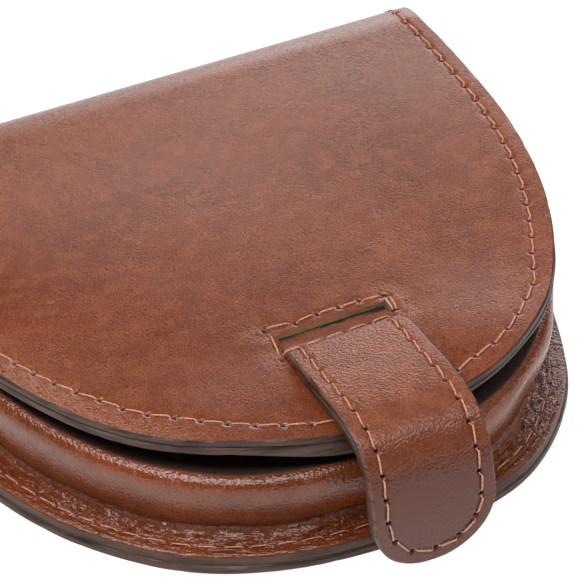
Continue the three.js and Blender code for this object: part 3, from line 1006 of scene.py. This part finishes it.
tab = {
    "half": 7.5, "rootHalf": 6.85, "rootReach": 6.0, "tipLength": 8.6, "tipPower": 2.2, "tipSkew": 0.06,
    "rows": [0, 0.25, 0.7, 1.2, 1.75, 2.3, 2.8, 3.6, 4.6], "innerRows": 7, "step": 0.7, "middleStops": 6.5,
    "pitch": 3.0, "seam": [(0, 1.8), (1, 1.8)], "seamFrom": (-54.6, -54.9), "band": 0.8,
    "rimCuts": 5, "seamCuts": 2,
    "rootSeam": [(-7.97, -55.0), (-4.97, -54.7), (-2.32, -54.35), (0.48, -54.0), (3.63, -53.6),
                 (6.63, -53.2)],
    # before breakAt the tab gets smoother grain and painted shade; shaded and shade set the painted shadow
    # on the root in the slit
    "innerFrom": -57.0, "breakAt": 29.75, "wornAndShaded": 0.65, "shaded": 0.38, "shade": (-54.4, -53.6),
    "edge": {"outset": 0.1, "round": 0.3, "square": 4, "strata": 0.08, "nicks": 0.2, "wander": 0.1,
             "seed": 12.0},
    "innerSeed": 15.0,
    "stitch": {"groove": 0.12, "grooveWidth": 0.32, "hole": 0.55, "holeWidth": 0.28},
}


def tabAlong(y):
    # distance along the tab's route at which it passes this y, before it turns down
    return float(np.interp(-y, -tabPath.points[:, 1], tabPath.distances))


def tabOutline(start):
    # right half, from the root to the middle of the tip
    reach = tabPath.length - tab["tipLength"]
    straight = []
    for v in np.linspace(start, reach, 80):
        pinch = (tab["half"] - tab["rootHalf"]) * (1 - smooth(0, tab["rootReach"], v))
        straight.append((tab["half"] - pinch, v))
    turn = np.linspace(0, math.pi / 2, 120)[1:]
    power = 2 / tab["tipPower"]
    tip = [(tab["half"] * max(math.cos(t), 0) ** power if t < turn[-1] else 0.0,
            reach + tab["tipLength"] * math.sin(t) ** power) for t in turn]
    return Path(straight + tip)


def tabSheet(start, edge, stitches=()):
    middle = middleLine(start, tabPath.length - tab["middleStops"])
    sheet = flatSheet(tabOutline(start), middle, tab["rows"], tab["innerRows"], tab["step"])
    smoothed = floatLayer(sheet, "smoothed")
    thicken(sheet, leather["tab"], tab["rimCuts"])
    if stitches:
        refineNear(sheet, stitches, tab["band"], tab["seamCuts"])
    shapeEdges(sheet, leather["tab"], edge)
    if stitches:
        sinkStitches(sheet, stitches, tab["stitch"])
    # worn smooth and darker past the break, painted shade just before it, painted shadow down in the slit
    shade = floatLayer(sheet, "paintedShade")
    shadeStart, shadeEnd = (tabAlong(y) for y in tab["shade"])
    for vert in sheet.verts:
        beyond = vert.co.y - tab["breakAt"]
        # before the break the grain is a little smoother and the colour darker as painted shade
        vert[smoothed] = max(tab["wornAndShaded"] * smooth(-9, -1, beyond), smooth(-0.5, 0.3, beyond))
        # painted shadow on the root, deepest where it comes up out of the slit
        shadow = tab["shaded"] * smooth(shadeStart, shadeEnd, vert.co.y)
        shadow += smooth(0.95, 0.6, vert.co.y)
        vert[shade] = max(vert[shade], shadow)
        vert.co.y -= tab["tipSkew"] * vert.co.x * smooth(4, 12, beyond)
    return sheet


tabLine = tabOutline(0).inset(tab["seam"])
seamRight, seamLeft = (tabAlong(y) for y in tab["seamFrom"])
tabStitches = stitchesAlong(tabLine, tab["pitch"], seamRight)
tabStitches += mirrored(stitchesAlong(tabLine, tab["pitch"], seamLeft, backwards=True))
tabStitches += holesToStitches([(x, tabAlong(y)) for x, y in tab["rootSeam"]], (0, 0.12))
sheet = tabSheet(0, tab["edge"], tabStitches)
layDown(sheet, layTab)
finishPiece(sheet, "tabSheet", [tabLeather, flesh, tabEdge], "tab_outer")
sheet = tabSheet(tabAlong(tab["innerFrom"]), dict(tab["edge"], seed=tab["innerSeed"]))
layDown(sheet, layTabLining)
finishPiece(sheet, "tabInner", [flesh, flesh, paintedEdge], "tab_lining")
sew("tabThread", tabStitches, layTab)

# Press stud

stud = {"segments": 40, "cap": 4.0, "post": 2.6}


def studPiece():
    centre = (studLow + studHigh) / 2
    length = studHigh[1] - studLow[1]
    cap, post = stud["cap"], stud["post"]
    end = [(0, 0), (cap * 0.8, 0), (cap * 0.95, 0.12), (cap, 0.45), (cap * 0.94, 0.9), (cap * 0.8, 1.05),
           (post * 1.15, 1.4), (post, 1.8)]
    section = end + [(radius, length - along) for radius, along in reversed(end)]
    bm = bmesh.new()
    row = [bm.verts.new((centre[0] + radius, studLow[1] + along, centre[2])) for radius, along in section]
    edges = [bm.edges.new(pair) for pair in zip(row, row[1:])]
    bmesh.ops.spin(bm, geom=row + edges, cent=tuple(centre), axis=(0, 1, 0), angle=2 * math.pi,
                   steps=stud["segments"], use_merge=True)
    bmesh.ops.remove_doubles(bm, verts=bm.verts, dist=tiny)
    bmesh.ops.recalc_face_normals(bm, faces=bm.faces)
    bmesh.ops.scale(bm, vec=(mm, mm, mm), verts=bm.verts)
    finishPiece(bm, "studBody", [brass], "press_stud", sharp=30)


studPiece()

# Floor, light and camera

floorLook = {"half": 3.0, "below": 0.0002, "colour": (0.2, 0.2, 0.2), "glow": 1.0}  # in metres
lights = [  # name, azimuth, elevation, then distance, width and height in metres, and watts
    ("main", -20, 58, 0.6, (0.72, 0.12), 3.2),
    ("left", -98, 58, 0.6, (0.5, 0.12), 2.0),
    ("back", 145, 16, 0.42, (0.3, 0.18), 0.58),
    ("right", 95, 55, 0.5, (0.4, 0.25), 0.36),
    ("rightLow", 65, 12, 0.5, (0.3, 0.16), 0.26),
]
worldStrength = 0.01
# angles in degrees; aim across and up the view, distance, lens and sensor in millimetres;
# clip in metres
view = {"azimuth": -21.48, "elevation": 34.75, "roll": -4.0, "aim": (17.61, -6.75), "distance": 900.0,
        "lens": 465.05, "sensor": 36, "clip": (0.05, 10)}


def addFloor():
    bm = bmesh.new()
    bmesh.ops.create_grid(bm, x_segments=1, y_segments=1, size=floorLook["half"])
    floor = addMesh("floor", bm)
    floor.location.z = -floorLook["below"]
    sockets = {"Base Color": floorLook["colour"], "Roughness": 0.9, "Specular IOR Level": 0.1,
               "Emission Color": (1.0, 1.0, 1.0), "Emission Strength": floorLook["glow"]}
    floor.data.materials.append(Shader("paleFloor").close(sockets))


def awayFrom(azimuth, elevation):
    # azimuth 0 is in front of the purse, and turns the way the camera's does
    a, e = math.radians(azimuth), math.radians(elevation)
    return Vector((math.sin(a) * math.cos(e), -math.cos(a) * math.cos(e), math.sin(e)))


def addLight(name, azimuth, elevation, distance, size, power):
    away = awayFrom(azimuth, elevation)
    data = bpy.data.lights.new(name, "AREA")
    data.shape, data.size, data.size_y = "RECTANGLE", size[0], size[1]
    data.energy = power
    turn = away.to_track_quat("Z", "Y").to_matrix().to_4x4()
    addObject(name, data).matrix_world = Matrix.Translation(away * distance) @ turn


def addWorld(strength):
    world = bpy.data.worlds.new("studio")
    world.use_nodes = True
    background = world.node_tree.nodes["Background"]
    background.inputs["Color"].default_value = (1, 1, 1, 1)
    background.inputs["Strength"].default_value = strength
    bpy.context.scene.world = world


def addCamera():
    a, e, r = (math.radians(view[key]) for key in ("azimuth", "elevation", "roll"))
    right = Vector((math.cos(a), math.sin(a), 0))
    up = Vector((-math.sin(e) * math.sin(a), math.sin(e) * math.cos(a), math.cos(e)))
    back = awayFrom(view["azimuth"], view["elevation"])
    across = math.cos(r) * right + math.sin(r) * up
    above = -math.sin(r) * right + math.cos(r) * up
    place = across * view["aim"][0] + above * view["aim"][1] + back * view["distance"]
    place = place + Vector((0, foldY, 0))
    data = bpy.data.cameras.new("camera")
    data.lens, data.sensor_width = view["lens"], view["sensor"]
    data.clip_start, data.clip_end = view["clip"]
    camera = addObject("camera", data)
    turn = Matrix((across, above, back)).transposed()
    camera.matrix_world = Matrix.Translation(place * mm) @ turn.to_4x4()
    bpy.context.scene.camera = camera


addFloor()
addWorld(worldStrength)
for light in lights:
    addLight(*light)
addCamera()
bpy.context.scene.view_settings.view_transform = "Standard"
print("floor, lights and camera placed")
